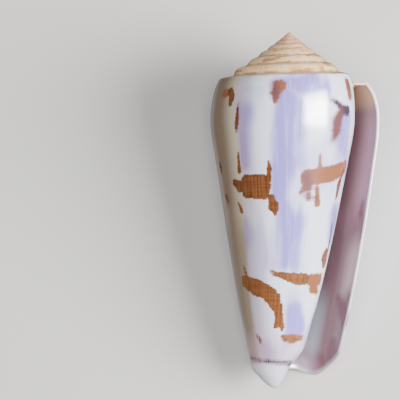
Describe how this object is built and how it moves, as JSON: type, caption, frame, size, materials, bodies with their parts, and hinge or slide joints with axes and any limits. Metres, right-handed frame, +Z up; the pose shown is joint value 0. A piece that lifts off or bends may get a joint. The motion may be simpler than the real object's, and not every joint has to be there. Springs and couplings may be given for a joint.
{
  "type": "governor cone shell",
  "caption": "Tall cone-shaped sea shell with a low stepped spire, a long narrow opening along one side and brown blotches on white and lavender.",
  "frame": {"origin": "on the surface it lies on, under the middle of its box", "axes": "+Z up, out of the opening's side; +Y along the shell to the apex; +X to the outer lip"},
  "size_m": [0.0356, 0.074, 0.0333],
  "materials": {
    "shell": "gloss"
  },
  "bodies": {
    "root": {"shell": "shell"}
  },
  "joints": []
}
